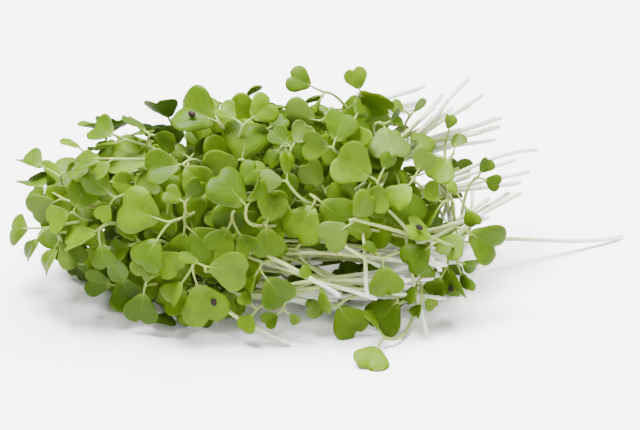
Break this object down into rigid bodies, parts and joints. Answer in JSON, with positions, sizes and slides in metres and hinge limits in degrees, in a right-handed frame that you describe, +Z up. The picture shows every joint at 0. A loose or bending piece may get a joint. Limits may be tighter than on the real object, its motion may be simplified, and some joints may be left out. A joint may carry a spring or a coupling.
{
  "type": "heap of cut mustard seedlings",
  "caption": "Loose heap of cut mustard greens: pale stems, thin leaf stalks and heart-shaped seed leaves, with empty seed hulls, lying on a flat surface.",
  "frame": {"origin": "under the middle of the heap's box, on the surface that it lies on", "axes": "+X along the heap towards its cut stems, +Y away from the front, +Z up"},
  "size_m": [0.1907, 0.0955, 0.0683],
  "materials": {
    "seed_leaves": "satin",
    "pale_stems": "satin",
    "seed_hulls": "matte"
  },
  "bodies": {
    "root": {"back_left_leaves": "seed_leaves", "back_left_stems": "pale_stems", "back_middle_leaves": "seed_leaves", "back_middle_stems": "pale_stems", "back_right_leaves": "seed_leaves", "back_right_stems": "pale_stems", "centre_leaves": "seed_leaves", "centre_left_leaves": "seed_leaves", "centre_left_stems": "pale_stems", "centre_low_leaves": "seed_leaves", "centre_low_stems": "pale_stems", "centre_right_leaves": "seed_leaves", "centre_right_stems": "pale_stems", "centre_stems": "pale_stems", "front_leaves": "seed_leaves", "front_left_leaves": "seed_leaves", "front_left_stems": "pale_stems", "front_right_leaves": "seed_leaves", "front_right_stems": "pale_stems", "front_stems": "pale_stems", "left_end_leaves": "seed_leaves", "left_end_stems": "pale_stems", "left_top_leaves": "seed_leaves", "left_top_stems": "pale_stems", "lower_left_leaves": "seed_leaves", "lower_left_stems": "pale_stems", "middle_left_leaves": "seed_leaves", "middle_left_stems": "pale_stems", "right_low_leaves": "seed_leaves", "right_low_stems": "pale_stems", "right_top_leaves": "seed_leaves", "right_top_stems": "pale_stems", "seed_hull_1": "seed_hulls", "seed_hull_2": "seed_hulls", "seed_hull_3": "seed_hulls", "seed_hull_4": "seed_hulls", "seed_hull_5": "seed_hulls", "top_leaves": "seed_leaves", "top_left_leaves": "seed_leaves", "top_left_stems": "pale_stems", "top_right_leaves": "seed_leaves", "top_right_stems": "pale_stems", "top_stems": "pale_stems"}
  },
  "joints": []
}
